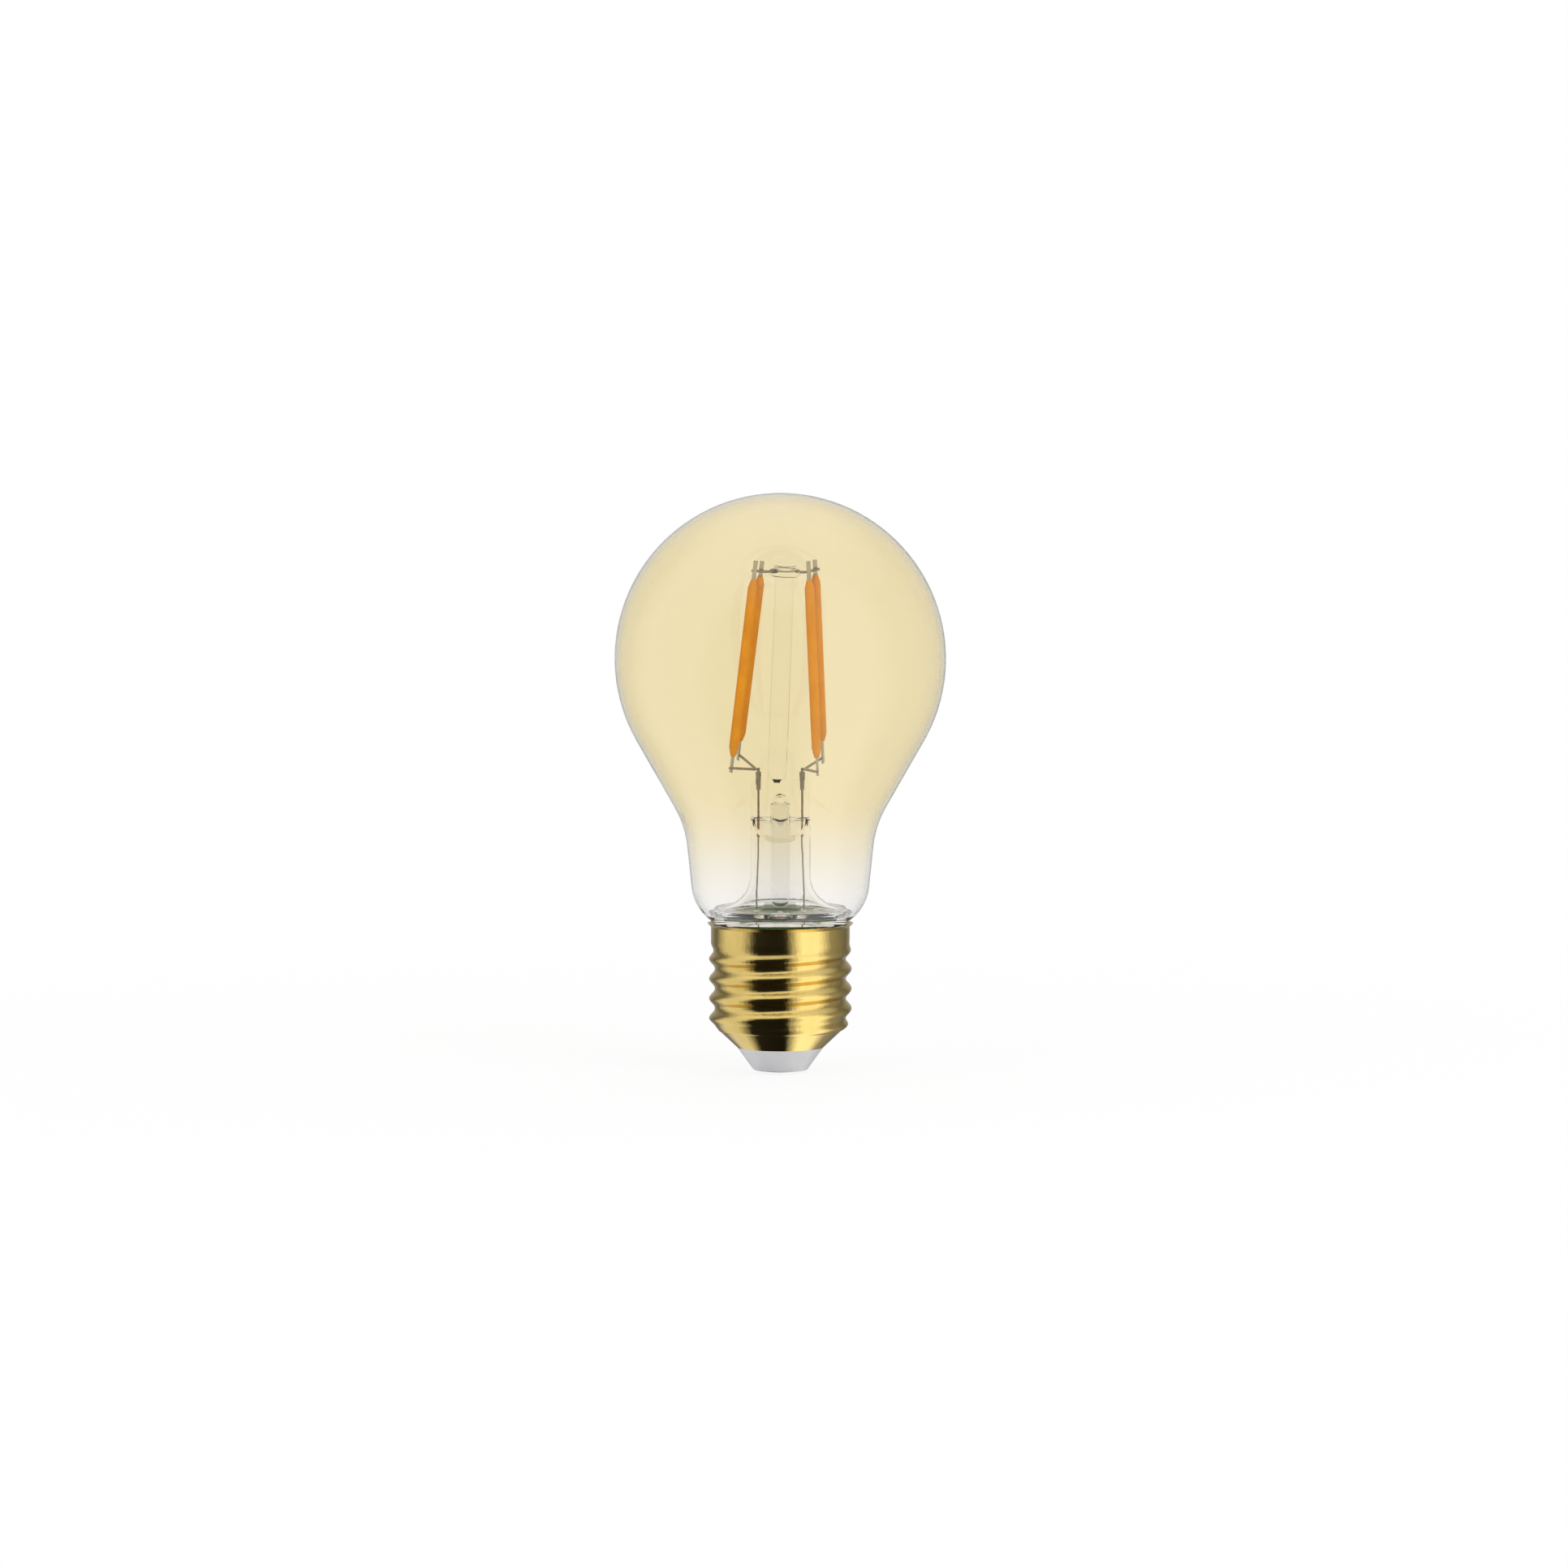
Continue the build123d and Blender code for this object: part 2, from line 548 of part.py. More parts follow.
def filament(side, row):
    """Jacket, strip, chips and end tabs, built upright about the middle of the jacket and then placed."""
    bottom, top, top_flat = weld_points(side, row)
    bottom_flat = arm_pass(side, row)[1]
    axis = (top - bottom).normalized()
    top_gap = FILAMENT_TOP_GAP - row * FILAMENT_TOP_STAGGER
    half = FILAMENT_LENGTH / 2
    centre = top - axis * (top_gap + half)
    strip_half = half - STRIP_MARGIN
    tip = FILAMENT_TIP_DIAMETER / 2
    outline = FilletPolyline(
        (0, -half),
        (tip, -half),
        (FILAMENT_DIAMETER / 2, FILAMENT_TAPER - half),
        (FILAMENT_DIAMETER / 2, half - FILAMENT_TAPER),
        (tip, half),
        (0, half),
        radius=tip / 2,
    )
    jacket = turned(outline, Line(outline @ 1, outline @ 0))
    strip = Box(STRIP_WIDTH, STRIP_THICKNESS, 2 * strip_half)
    pitch = 2 * strip_half / CHIP_COUNT
    chips = []
    for index in range(CHIP_COUNT):
        z = (index + 0.5) * pitch - strip_half
        chips.append(Pos(0, -(STRIP_THICKNESS + CHIP_THICKNESS) / 2, z) * Box(CHIP_WIDTH, CHIP_THICKNESS, CHIP_LENGTH))
    place = Plane(origin=centre, x_dir=Vector(1, 0, 0), z_dir=axis)
    tabs = []
    for flat, start, end in (
        (top_flat, strip_half, half + top_gap + TAB_TOP_OVERHANG),
        (bottom_flat, -strip_half, -(centre - bottom).length - TAB_BOTTOM_OVERHANG),
    ):
        local = place.to_local_coords(centre + flat)
        turn = atan2(local.Y, local.X) * 180 / pi
        bar = Box(TAB_THICKNESS, TAB_WIDTH, abs(end - start))
        tabs.append(Pos(0, 0, (start + end) / 2) * Rot(0, 0, turn) * bar)
    jacket = jacket - strip - tabs[0] - tabs[1]
    slot_length = 2 * strip_half - pitch + CHIP_LENGTH
    jacket -= Pos(0, -(STRIP_THICKNESS + CHIP_THICKNESS) / 2, 0) * Box(CHIP_WIDTH, CHIP_THICKNESS, slot_length)
    where = place.location
    return where * jacket, where * strip, [where * tab for tab in tabs], [where * chip for chip in chips]


def lead_points(side):
    """Outer lead from the seal wire's knot down through the board."""
    x = side * POST_X
    knot = PRESS_TOP - SEAL_WIRE_END
    out = x + side * LEAD_SPREAD
    return [
        (x, 0, knot - KNOT_RADIUS),
        (x + side * LEAD_SPREAD * 0.3, 0, knot - 5),
        (out, 0, BOARD_TOP + 3),
        (out, 0, BOARD_UNDERSIDE - PIN_RISE),
    ]


# ---- driver board ----
def board_pins():
    """Every round pin that goes through the board: (x, y, diameter)."""
    pins = [(side * (POST_X + LEAD_SPREAD), 0, LEAD_DIAMETER) for side in SIDES.values()]
    for sign in (-1, 1):
        x = CAPACITOR_CENTRE[0] + sign * CAPACITOR_PIN_SPACING / 2
        pins.append((x, CAPACITOR_CENTRE[1], CAPACITOR_PIN_DIAMETER))
    pins.append((0, RESISTOR_Y, RESISTOR_LEAD_DIAMETER))
    angle = radians(NEUTRAL_ANGLE)
    pins.append((NEUTRAL_RADIUS * cos(angle), NEUTRAL_RADIUS * sin(angle), NEUTRAL_DIAMETER))
    return pins


def driver_board():
    board = rod(BOARD_RADIUS, BOARD_UNDERSIDE, BOARD_TOP)
    for x, y, diameter in board_pins():
        board -= rod(diameter / 2 + PIN_CLEARANCE, BOARD_UNDERSIDE, BOARD_TOP, x, y)
    return board


def solder_joint(x, y, diameter):
    cone = Pos(x, y, BOARD_TOP + SOLDER_HEIGHT / 2) * Cone(SOLDER_RADIUS, diameter / 2 + 2 * PIN_CLEARANCE, SOLDER_HEIGHT)
    return cone - rod(diameter / 2 + PIN_CLEARANCE, BOARD_TOP, BOARD_TOP + SOLDER_HEIGHT, x, y)


def legs(size, centre, count):
    """Flat legs along both long sides of a chip under the board."""
    found = []
    for sign in (-1, 1):
        for index in range(count):
            x = centre[0] + size[0] * ((index + 0.5) / count - 0.5)
            y = centre[1] + sign * (size[1] + LEG_REACH) / 2
            found.append(block((LEG_WIDTH, LEG_REACH, LEG_THICKNESS), x, y, BOARD_UNDERSIDE - LEG_THICKNESS))
    return found


def hung_chip(size, centre):
    return block(size, *centre, BOARD_UNDERSIDE - size[2])


def capacitor():
    top = BOARD_UNDERSIDE - CAPACITOR_STANDOFF
    can = rod(CAPACITOR_DIAMETER / 2, top - CAPACITOR_LENGTH, top, *CAPACITOR_CENTRE)
    return fillet(can.edges(), 0.4)


def capacitor_pins():
    low = BOARD_UNDERSIDE - CAPACITOR_STANDOFF
    radius = CAPACITOR_PIN_DIAMETER / 2
    x, y = CAPACITOR_CENTRE
    return [rod(radius, low, BOARD_TOP + PIN_RISE, x + s * CAPACITOR_PIN_SPACING / 2, y) for s in (-1, 1)]


def inductor():
    low = BOARD_UNDERSIDE - INDUCTOR_HEIGHT
    core = rod(INDUCTOR_CORE_DIAMETER / 2, low, BOARD_UNDERSIDE, *INDUCTOR_CENTRE)
    for base in (low, BOARD_UNDERSIDE - INDUCTOR_FLANGE):
        core += rod(INDUCTOR_DIAMETER / 2, base, base + INDUCTOR_FLANGE, *INDUCTOR_CENTRE)
    inside = INDUCTOR_CORE_DIAMETER / 2
    outside = INDUCTOR_WINDING_DIAMETER / 2
    span = (low + INDUCTOR_FLANGE, BOARD_UNDERSIDE - INDUCTOR_FLANGE)
    return core, ring(outside, inside, *span, *INDUCTOR_CENTRE)


RESISTOR_TOP = BOARD_UNDERSIDE - RESISTOR_DROP
RESISTOR_LOW = RESISTOR_TOP - RESISTOR_LENGTH


def resistor():
    body = fillet(rod(RESISTOR_DIAMETER / 2, RESISTOR_LOW, RESISTOR_TOP, 0, RESISTOR_Y).edges(), 0.4)
    upper = rod(RESISTOR_LEAD_DIAMETER / 2, RESISTOR_TOP, BOARD_TOP + PIN_RISE, 0, RESISTOR_Y)
    lower = rod(RESISTOR_LEAD_DIAMETER / 2, RESISTOR_LOW - RESISTOR_LEAD_TAIL, RESISTOR_LOW, 0, RESISTOR_Y)
    return body, [upper, lower]


def live_wire():
    """Core from the resistor's lower lead to the contact's eyelet, with its insulation between."""
    start = RESISTOR_LOW - RESISTOR_LEAD_TAIL
    eyelet_top = CONTACT_RIM_HEIGHT + CONTACT_THICKNESS + EYELET_LENGTH
    jacket_end = max(MOUTH_HEIGHT + PLUG_HEIGHT, eyelet_top)
    low_turn = jacket_end + LIVE_STRIPPED
    route = [
        (0, RESISTOR_Y, start),
        (0, RESISTOR_Y, (start + low_turn) / 2 + 1),
        (0, 0, (start + low_turn) / 2 - 1),
        (0, 0, eyelet_top - EYELET_LENGTH),
    ]
    core = wire_along(route, LIVE_BEND, LIVE_CORE_DIAMETER)
    covered = [(0, RESISTOR_Y, start - LIVE_STRIPPED), route[1], route[2], (0, 0, jacket_end)]
    jacket = wire_along(covered, LIVE_BEND, LIVE_JACKET_DIAMETER)
    return core, jacket - wire_along(covered, LIVE_BEND, LIVE_CORE_DIAMETER)


def neutral_wire():
    """Wire from the board, bent back outward so that its end meets the shell's inner face."""
    angle = radians(NEUTRAL_ANGLE)
    low = BOARD_UNDERSIDE - NEUTRAL_DROP
    end = low + NEUTRAL_RISE
    reach = shell_bore_radius(angle, end) - NEUTRAL_WELD_GAP - NEUTRAL_DIAMETER / 4
    stations = ((NEUTRAL_RADIUS, BOARD_TOP + PIN_RISE), (NEUTRAL_RADIUS, low), (reach, end))
    points = [(r * cos(angle), r * sin(angle), z) for r, z in stations]
    return wire_along(points, NEUTRAL_DIAMETER * 0.8, NEUTRAL_DIAMETER)


def main():
    os.makedirs("parts", exist_ok=True)
    save("glass_envelope", glass_bulb())
    save("screw_shell", screw_shell())
    save("cap_cement", cap_cement())
    save("cap_insulator", insulator())
    save("centre_contact", centre_contact())

    press = stem_tube()
    for name, side in SIDES.items():
        x = side * POST_X
        sleeve_top, sleeve_low = PRESS_TOP + SLEEVE_RISE, PRESS_TOP - SLEEVE_SINK
        knot = PRESS_TOP - SEAL_WIRE_END
        save(f"{name}_weld_sleeve", ring(SLEEVE_DIAMETER / 2, POST_DIAMETER / 2, sleeve_low, sleeve_top, x))
        save(f"{name}_inner_lead", rod(POST_DIAMETER / 2, sleeve_low, PRESS_TOP + POST_RISE, x))
        seal = rod(SEAL_WIRE_DIAMETER / 2, knot, sleeve_low, x)
        save(f"{name}_seal_wire", seal + Pos(x, 0, knot) * Sphere(KNOT_RADIUS))
        save(f"{name}_support_arms", support_arms(side))
        save(f"{name}_outer_lead", wire_along(lead_points(side), LEAD_BEND, LEAD_DIAMETER))
        press = press - rod(SLEEVE_DIAMETER / 2, sleeve_low, PRESS_TOP + 1, x)
        press -= rod(SEAL_WIRE_DIAMETER / 2, PRESS_BASE - PRESS_SPREAD, sleeve_low, x)
    save("stem_tube", press)
    save("exhaust_tube", exhaust_tube())
    save("support_column", column() - press)

    bridge = bridge_wire()
    save("bridge_wire", bridge)
    save("column_head", column_head() - bridge)
    chips = []
    for side_name, side in SIDES.items():
        for row_name, row in ROWS.items():
            jacket, strip, tabs, row_chips = filament(side, row)
            name = f"filament_{row_name}_{side_name}"
            save(f"{name}_jacket", jacket)
            save(f"{name}_strip", strip)
            save(f"{name}_tabs", *tabs)
            chips += row_chips
    save("filament_led_chips", *chips)

    save("driver_board", driver_board())
    save("solder_joints", *[solder_joint(*pin) for pin in board_pins()])
    module_low = BOARD_TOP + MODULE_THICKNESS
    save("wireless_module", block((MODULE_WIDTH, MODULE_DEPTH, MODULE_THICKNESS), 0, MODULE_CENTRE_Y, BOARD_TOP))
    can_size = (MODULE_WIDTH - 2 * CAN_MARGIN, MODULE_DEPTH - 2 * CAN_MARGIN, CAN_HEIGHT)
    save("wireless_shield_can", block(can_size, 0, MODULE_CENTRE_Y, module_low))
    save("wireless_antenna", block(ANTENNA_SIZE, 0, ANTENNA_Y, BOARD_TOP))
    save("bridge_rectifier", hung_chip(RECTIFIER_SIZE, RECTIFIER_CENTRE))
    save("led_driver_chip", hung_chip(DRIVER_SIZE, DRIVER_CENTRE))
    save("chip_legs", *legs(RECTIFIER_SIZE, RECTIFIER_CENTRE, 2), *legs(DRIVER_SIZE, DRIVER_CENTRE, 4))
    save("smoothing_capacitor", capacitor())
    save("capacitor_pins", *capacitor_pins())
    core, winding = inductor()
    save("filter_inductor_core", core)
    save("filter_inductor_winding", winding)
    body, leads = resistor()
    save("fusible_resistor", body)
    save("fusible_resistor_leads", *leads)
    small = [hung_chip(SMALL_PART_SIZE, place) for place in SMALL_PARTS_UNDER]
    small += [block(SMALL_PART_SIZE, *place, BOARD_TOP) for place in SMALL_PARTS_OVER]
    save("small_board_parts", *small)
    core, insulation = live_wire()
    save("live_wire", core)
    save("live_wire_insulation", insulation)
    save("neutral_wire", neutral_wire())


main()
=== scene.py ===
# %% [markdown]
# # Looks of an amber LED filament bulb
#
# The bulb is already built to size as a set of named pieces. This lesson gives each piece its finish,
# lights it in a small white studio, and points a camera at it.
# Everything is in metres, in the bulb's own frame: the centre contact touches z = 0, and -Y is the front.

# %% Load the frame
import json
import math

import bmesh
import bpy
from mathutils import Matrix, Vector


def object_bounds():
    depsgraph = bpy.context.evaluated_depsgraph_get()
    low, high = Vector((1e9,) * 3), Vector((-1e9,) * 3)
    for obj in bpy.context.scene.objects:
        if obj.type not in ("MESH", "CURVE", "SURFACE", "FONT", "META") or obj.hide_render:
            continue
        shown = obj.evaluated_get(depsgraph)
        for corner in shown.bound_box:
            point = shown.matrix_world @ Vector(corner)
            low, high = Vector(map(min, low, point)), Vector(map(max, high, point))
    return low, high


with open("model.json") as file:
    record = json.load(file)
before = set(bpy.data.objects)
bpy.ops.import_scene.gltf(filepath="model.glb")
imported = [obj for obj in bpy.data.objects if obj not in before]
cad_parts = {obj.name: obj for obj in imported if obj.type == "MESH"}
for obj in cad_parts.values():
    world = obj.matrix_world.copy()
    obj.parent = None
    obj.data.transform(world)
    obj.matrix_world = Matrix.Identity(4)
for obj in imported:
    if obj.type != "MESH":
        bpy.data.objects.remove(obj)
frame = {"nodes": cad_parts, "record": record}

nodes = frame["nodes"]
cad_bounds = [list(corner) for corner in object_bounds()]
print(len(nodes), "pieces in the frame, box", cad_bounds)

# %% [markdown]
# ## Camera
#
# A short lens close by would swell the globe and shrink the cap. A long lens from two metres away keeps
# the bulb's sides nearly parallel. The camera looks down by a few degrees, which opens the cap's rim and
# the filament cage into narrow ellipses.

# %% Place the camera
MILLIMETRE = 0.001
CAMERA_DISTANCE = 2.0
CAMERA_ELEVATION = math.radians(4.6)
VIEW_WIDTH = 0.2865  # of the whole square picture, measured at the bulb
SENSOR_WIDTH = 36.0
AIM = Vector((0.67, 0.0, 52.8)) * MILLIMETRE


def place_camera():
    data = bpy.data.cameras.new("camera")
    camera = bpy.data.objects.new("camera", data)
    bpy.context.scene.collection.objects.link(camera)
    away = Vector((0, -math.cos(CAMERA_ELEVATION), math.sin(CAMERA_ELEVATION)))
    camera.location = AIM + away * CAMERA_DISTANCE
    camera.rotation_euler = (AIM - camera.location).to_track_quat("-Z", "Y").to_euler()
    data.sensor_width = SENSOR_WIDTH
    data.lens = SENSOR_WIDTH * CAMERA_DISTANCE / VIEW_WIDTH
    bpy.context.scene.camera = camera
    return camera


print("lens", round(place_camera().data.lens, 1), "mm")

# %% [markdown]
# ## Writing shader maths as Python
#
# A finish is a small network of nodes. Wiring each sum by hand hides the idea, so `Signal` wraps one
# socket and lets `+ - * /` add the Math nodes.

# %% Signals
class Signal:
    """One output socket of a network, with arithmetic."""

    def __init__(self, network, socket):
        self.network = network
        self.socket = socket

    def maths(self, operation, *values):
        inputs = dict(enumerate(values))
        return self.network.node("ShaderNodeMath", {"operation": operation}, inputs)

    def __add__(self, other):
        return self.maths("ADD", self, other)

    def __sub__(self, other):
        return self.maths("SUBTRACT", self, other)

    def __rsub__(self, other):
        return self.maths("SUBTRACT", other, self)

    def __mul__(self, other):
        return self.maths("MULTIPLY", self, other)

    def __truediv__(self, other):
        return self.maths("DIVIDE", self, other)

    __radd__ = __add__
    __rmul__ = __mul__

    def clamped(self):
        return self.maths("MINIMUM", self.maths("MAXIMUM", self, 0.0), 1.0)


print("signals add Math nodes for + - * /")

# %% [markdown]
# ## Networks of nodes
#
# `Network.node` makes any other node in one call: its type, its settings, then the values or links
# of its sockets. The settings come first because some of them decide which sockets a node has.
# Colours are mixed by a Mix node, as a Math node would turn them grey.

# %% Networks
COLOUR_SHARE, COLOUR_FIRST, COLOUR_SECOND, COLOUR_RESULT = 0, 6, 7, 2  # a Mix node's colour sockets


class Network:
    """A node tree under construction."""

    def __init__(self, tree):
        self.tree = tree
        tree.nodes.clear()

    def node(self, kind, settings=None, inputs=None, output=0):
        """Add a node: settings first, then the values or links of its sockets."""
        made = self.tree.nodes.new(kind)
        for name, value in (settings or {}).items():
            if name == "stops":
                self.set_stops(made.color_ramp, value)
            else:
                setattr(made, name, value)
        for name, value in (inputs or {}).items():
            if isinstance(value, Signal):
                self.tree.links.new(value.socket, made.inputs[name])
            else:
                made.inputs[name].default_value = value
        return Signal(self, made.outputs[output])

    @staticmethod
    def set_stops(ramp, stops):
        while len(ramp.elements) < len(stops):
            ramp.elements.new(0.5)
        for element, (position, shade) in zip(ramp.elements, stops):
            element.position = position
            element.color = (*shade, 1.0)

    def part(self, vector, axis):
        """The X, Y or Z part of a vector."""
        return self.node("ShaderNodeSeparateXYZ", inputs={0: vector}, output=axis)

    def ray(self, kind):
        """1 for a ray of this kind and 0 for any other."""
        return self.node("ShaderNodeLightPath", output=f"Is {kind} Ray")

    def mirrored(self):
        """1 for what polish mirrors. What shows through glass is left out."""
        return self.ray("Glossy") * (1 - self.ray("Transmission"))

    def blend(self, share, first, second):
        """Mix two colours; share 0 gives the first."""
        sockets = {COLOUR_SHARE: share, COLOUR_FIRST: first, COLOUR_SECOND: second}
        return self.node("ShaderNodeMix", {"data_type": "RGBA"}, sockets, output=COLOUR_RESULT)

    def layer(self, share, first, second):
        """Mix two shaders; share 0 gives the first."""
        return self.node("ShaderNodeMixShader", inputs={0: share, 1: first, 2: second})

    def show(self, shader, output):
        out = self.tree.nodes.new(output)
        self.tree.links.new(shader.socket, out.inputs["Surface"])


def colour(red, green, blue):
    return (red, green, blue, 1.0)


print("networks add every other node")

# %% [markdown]
# ## Finishes
#
# Every material starts from the same few things: a place on the object, noise whose grain is given as a
# real size, and a bump. Object coordinates keep the grain in place when the view changes.

# %% Finishes
BUMP_STRENGTH = 0.5
NOISE_MEAN = 0.5


class Finish(Network):
    """A material under construction, with the coordinates that every finish here starts from."""

    def __init__(self, name):
        self.material = bpy.data.materials.new(name)
        self.material.use_nodes = True
        super().__init__(self.material.node_tree)
        self.place = self.node("ShaderNodeTexCoord", output="Object")

    def height(self):
        """Height above the centre contact, in millimetres."""
        return self.part(self.place, "Z") / MILLIMETRE

    def speckle(self, size, detail=3.0, stretch=(1, 1, 1)):
        """Soft noise whose grains are about `size` metres across."""
        sides = {0: self.place, 1: Vector(stretch)}
        scaled = self.node("ShaderNodeVectorMath", {"operation": "MULTIPLY"}, sides)
        inputs = {"Vector": scaled, "Scale": 1 / size, "Detail": detail}
        return self.node("ShaderNodeTexNoise", inputs=inputs)

    def bump(self, height, depth, strength=BUMP_STRENGTH):
        inputs = {"Height": height, "Distance": depth, "Strength": strength}
        return self.node("ShaderNodeBump", inputs=inputs)

    def surface(self, shader):
        self.show(shader, "ShaderNodeOutputMaterial")
        return self.material


FINISHES = {}  # material slot: finished material
print("finishes start from object coordinates")

# %% [markdown]
# ## Surroundings
#
# The backdrop is white to the eye. Polished metal needs something darker to mirror, or it looks like
# paint, so what mirrors see is a ring of soft boxes and dark gaps round the bulb. Real cards and flags
# would do the same, but they would also show through the glass. A world that knows the kind of ray
# keeps them out of it.

# %% The surroundings
RING_STOPS = [  # share of a turn from behind, over the left, the front (0.5) and the right
    (0.00, (0.55, 0.55, 0.55)),
    (0.14, (0.16, 0.16, 0.16)),
    (0.22, (0.95, 0.94, 0.92)),
    (0.32, (0.95, 0.94, 0.92)),
    (0.38, (0.02, 0.02, 0.02)),
    (0.53, (0.01, 0.01, 0.01)),
    (0.60, (1.60, 1.58, 1.54)),
    (0.68, (1.50, 1.48, 1.44)),
    (0.75, (0.40, 0.39, 0.38)),
    (0.88, (0.18, 0.18, 0.18)),
    (1.00, (0.55, 0.55, 0.55)),
]
CEILING_STARTS, CEILING_FULL = 0.55, 0.9  # vertical part of the direction
CEILING = colour(1.1, 1.1, 1.1)
WHITE = colour(1, 1, 1)
FILL_STRENGTH = 0.62  # the light from all round that matt surfaces get


def ring_of_boxes(net, x, y):
    """What a mirror sees in the direction (x, y) from the bulb."""
    turn = x.maths("ARCTAN2", x, 0 - y) / (2 * math.pi) + 0.5
    return net.node("ShaderNodeValToRGB", {"stops": RING_STOPS}, {0: turn})


def studio_surroundings():
    world = bpy.data.worlds.new("studio")
    bpy.context.scene.world = world
    world.use_nodes = True
    net = Network(world.node_tree)
    direction = net.node("ShaderNodeTexCoord", output="Generated")
    x, y, z = (net.part(direction, axis) for axis in "XYZ")
    above = {"Value": z, "From Min": CEILING_STARTS, "From Max": CEILING_FULL, "To Max": 1.0}
    ceiling = net.node("ShaderNodeMapRange", inputs=above)
    ring = net.blend(ceiling, ring_of_boxes(net, x, y), CEILING)
    seen, mirrored, filling = (
        net.node("ShaderNodeBackground", inputs={"Color": shade, "Strength": strength})
        for shade, strength in ((WHITE, 1.0), (ring, 1.0), (WHITE, FILL_STRENGTH))
    )
    mixed = net.layer(net.mirrored(), seen, mirrored)
    net.show(net.layer(net.ray("Diffuse"), mixed, filling), "ShaderNodeOutputWorld")
    return world


print("surroundings:", studio_surroundings().name)

# %% [markdown]
# ## Floor
#
# A plain disc carries the bulb's soft shadow. Near the bulb a little of its own shading shows, and
# further out it fades into the backdrop, so no horizon cuts across the glass. In the polished cap
# it continues the ring of soft boxes, because a straight wall seen from slightly above mirrors the floor.

# %% The floor
FLOOR_RADIUS = 0.9
FLOOR_SEGMENTS = 96
FLOOR_DROP = 0.0002  # below the contact, so that the two never share a plane
WHITE_BEYOND = 0.3  # metres from the bulb at which the floor has faded into the backdrop
SHADOW_SHARE = 0.12  # how much of the floor's own shading shows under the bulb
FLOOR_COLOUR = colour(0.9, 0.9, 0.9)


def floor_finish():
    finish = Finish("floor_pale")
    matt = finish.node("ShaderNodeBsdfDiffuse", inputs={"Color": FLOOR_COLOUR})
    white = finish.node("ShaderNodeEmission", inputs={"Color": WHITE, "Strength": 1.0})
    x, y = (finish.part(finish.place, axis) for axis in "XY")
    boxes = ring_of_boxes(finish, x, y)
    ring = finish.node("ShaderNodeEmission", inputs={"Color": boxes, "Strength": 1.0})
    length = {"operation": "LENGTH"}
    across = finish.node("ShaderNodeVectorMath", length, {0: finish.place}, output="Value")
    shaded = (1 - (across / WHITE_BEYOND).clamped()) * SHADOW_SHARE
    seen = (finish.ray("Camera") + finish.ray("Transmission")).clamped() * (1 - shaded)
    surface = finish.layer(seen, matt, white)
    return finish.surface(finish.layer(finish.mirrored(), surface, ring))


def make_floor():
    mesh = bpy.data.meshes.new("floor")
    work = bmesh.new()
    bmesh.ops.create_circle(work, cap_ends=True, segments=FLOOR_SEGMENTS, radius=FLOOR_RADIUS)
    work.to_mesh(mesh)
    work.free()
    floor = bpy.data.objects.new("floor", mesh)
    floor.location.z = cad_bounds[0][2] - FLOOR_DROP
    bpy.context.scene.collection.objects.link(floor)
    mesh.materials.append(floor_finish())
    return floor


print("floor faces:", len(make_floor().data.polygons))

# %% [markdown]
# ## Lamps
#
# Three large square lamps give matt pieces their shape and the floor its shadow. They are hidden from
# the camera, from mirrors and from glass, which all see the ring of soft boxes or the white backdrop.

# %% Soft boxes
LAMPS = (
    # name, size in metres, azimuth and elevation in degrees, distance in metres, watts
    ("key", 0.5, 38, 40, 0.9, 3.0),
    ("fill", 0.7, -50, 20, 0.9, 1.8),
    ("back", 0.6, 170, 50, 1.0, 1.6),
)


def soft_box(name, size, azimuth, elevation, distance, watts):
    """Square lamp that looks at the bulb's middle; azimuth 0 is in front, positive to the right."""
    data = bpy.data.lights.new(name, "AREA")
    data.size = size
    data.energy = watts
    lamp = bpy.data.objects.new(name, data)
    bpy.context.scene.collection.objects.link(lamp)
    turn, rise = math.radians(azimuth), math.radians(elevation)
    level = math.cos(rise)
    away = Vector((math.sin(turn) * level, -math.cos(turn) * level, math.sin(rise)))
    lamp.location = AIM + away * distance
    lamp.rotation_euler = (-away).to_track_quat("-Z", "Y").to_euler()
    lamp.visible_camera = False
    lamp.visible_glossy = False
    lamp.visible_transmission = False


for lamp in LAMPS:
    soft_box(*lamp)
bpy.context.scene.view_settings.view_transform = "Standard"
print(len(LAMPS), "soft boxes")

# %% [markdown]
# ## Glass
#
# The envelope is thin blown glass, coated amber over the globe and clear at the neck, and the stem inside
# is clear drawn glass. A plain transparent material would lose the bright edges, so both are transmissive
# with a faint ripple. Lamps can't find their way through such a surface, so shadow rays get a transparent
# stand-in. The coating's tint is a smooth step in height, and noise keeps its edge from being a ruled line.

# %% Glass finishes
ENVELOPE_IOR = 1.45
STEM_IOR = 1.3  # thin drawn glass shows less of itself than its true index would give
RIPPLE_SIZE, RIPPLE_DEPTH, RIPPLE_STRENGTH = 0.006, 0.0001, 0.06
RIPPLE_DETAIL = 2.0
TINT_STARTS, TINT_FULL = 28.0, 52.0  # heights in millimetres
TINT_PATCH = 0.012
TINT_WANDER = 4.0  # millimetres by which the coating's edge strays
NECK_TINT = colour(0.955, 0.95, 0.945)
GLOBE_TINT = colour(0.93, 0.86, 0.66)


def amber_tint(finish):
    height = finish.height() + (finish.speckle(TINT_PATCH) - NOISE_MEAN) * TINT_WANDER
    heights = {"Value": height, "From Min": TINT_STARTS, "From Max": TINT_FULL}
    share = finish.node("ShaderNodeMapRange", {"interpolation_type": "SMOOTHSTEP"}, heights)
    return finish.blend(share, NECK_TINT, GLOBE_TINT)


def clear_tint(finish):
    return colour(0.985, 0.985, 0.98)


